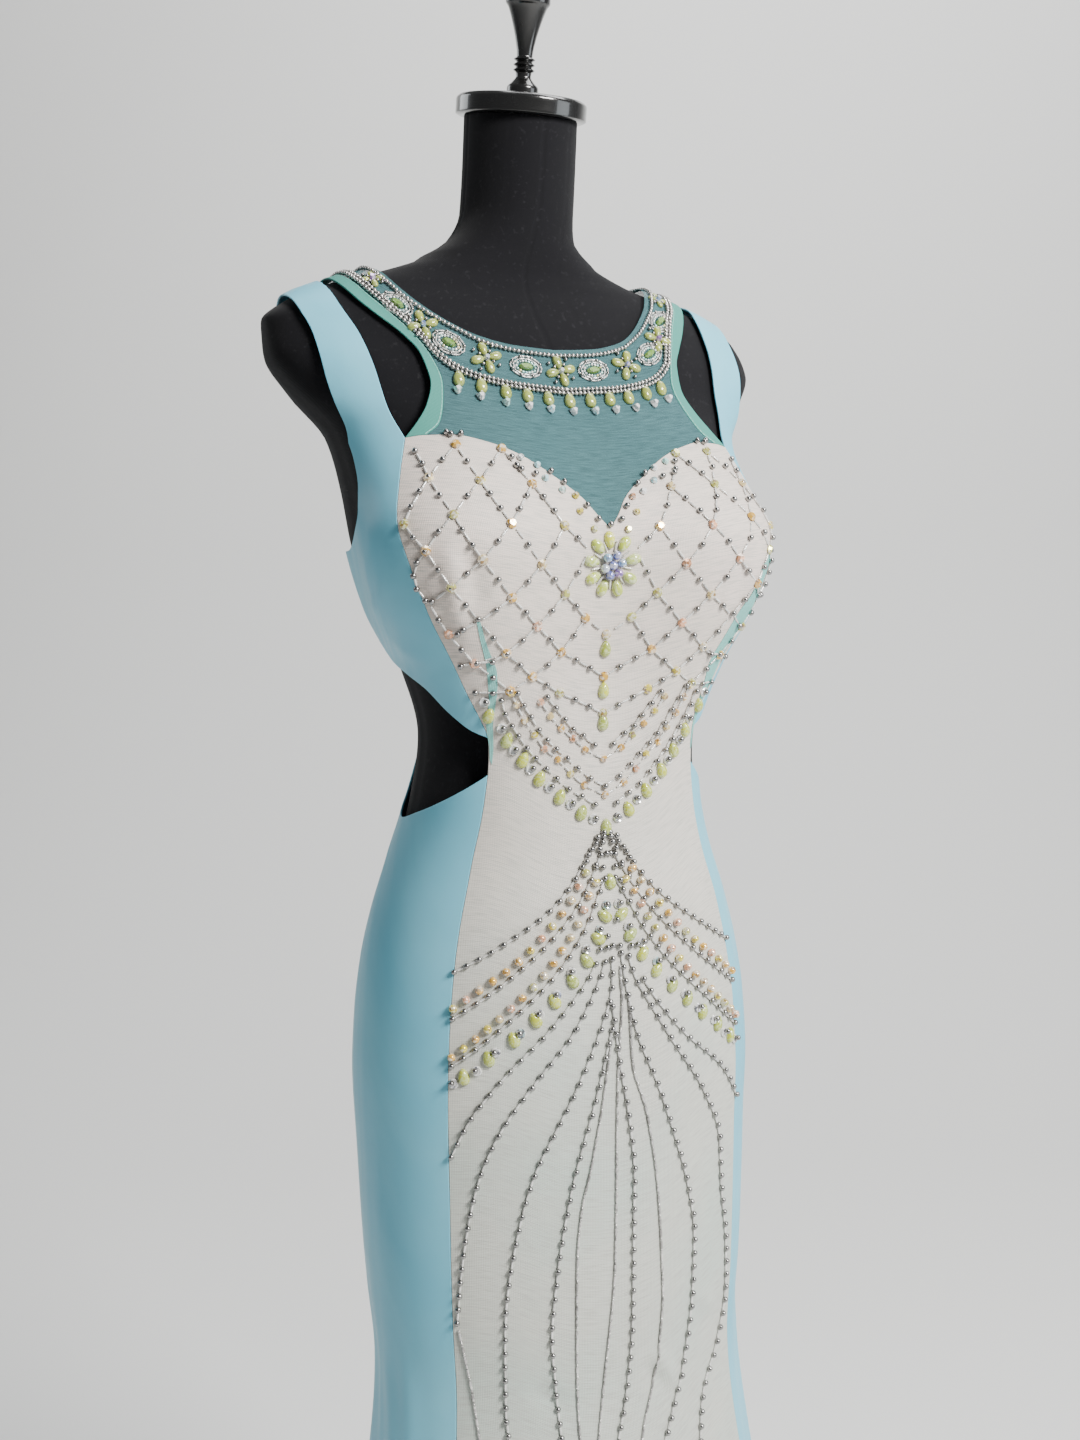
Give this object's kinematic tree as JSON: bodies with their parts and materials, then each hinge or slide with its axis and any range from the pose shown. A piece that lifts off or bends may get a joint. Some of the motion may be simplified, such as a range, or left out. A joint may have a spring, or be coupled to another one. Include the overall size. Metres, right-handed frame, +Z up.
{
  "type": "mermaid prom dress on a limbless dress form with a stand",
  "caption": "Floor-length mermaid gown with waist cut-outs and a beaded collar, on a limbless torso form over a pole and a round foot.",
  "frame": {"origin": "middle of the stand's round foot, on its underside, at floor level", "axes": "+Z up along the pole, -Y towards the dress's front, +X towards the wearer's left"},
  "size_m": [0.7942, 0.7802, 1.7079],
  "materials": {
    "satin": "pale aqua stretch satin, soft sheen",
    "mesh_yoke": "sheer teal net over the black form",
    "binding": "mint green bias binding",
    "cream_net": "cream lining under pale net, beaded",
    "beadwork": "net worked with glass beads and stones",
    "lime_stone": "faceted lime stones, glossy",
    "black_cover": "black jersey cover",
    "black_lacquer": "turned wood under gloss black lacquer",
    "black_metal": "black powder coat"
  },
  "bodies": {
    "root": {"front_panel": "cream_net", "yoke": "mesh_yoke", "collar_front": "beadwork", "collar_back_left": "beadwork", "collar_back_right": "beadwork", "armhole_binding_left": "binding", "armhole_binding_right": "binding", "bodice_side_left": "satin", "bodice_side_right": "satin", "back_band_left": "satin", "back_band_right": "satin", "skirt_side_left": "satin", "skirt_side_right": "satin", "skirt_back_left": "satin", "skirt_back_right": "satin", "brooch_flower": "lime_stone", "form_torso": "black_cover", "form_neck_cap": "black_lacquer", "form_knob": "black_lacquer", "stand_pole": "black_metal", "stand_foot": "black_metal"}
  },
  "joints": []
}
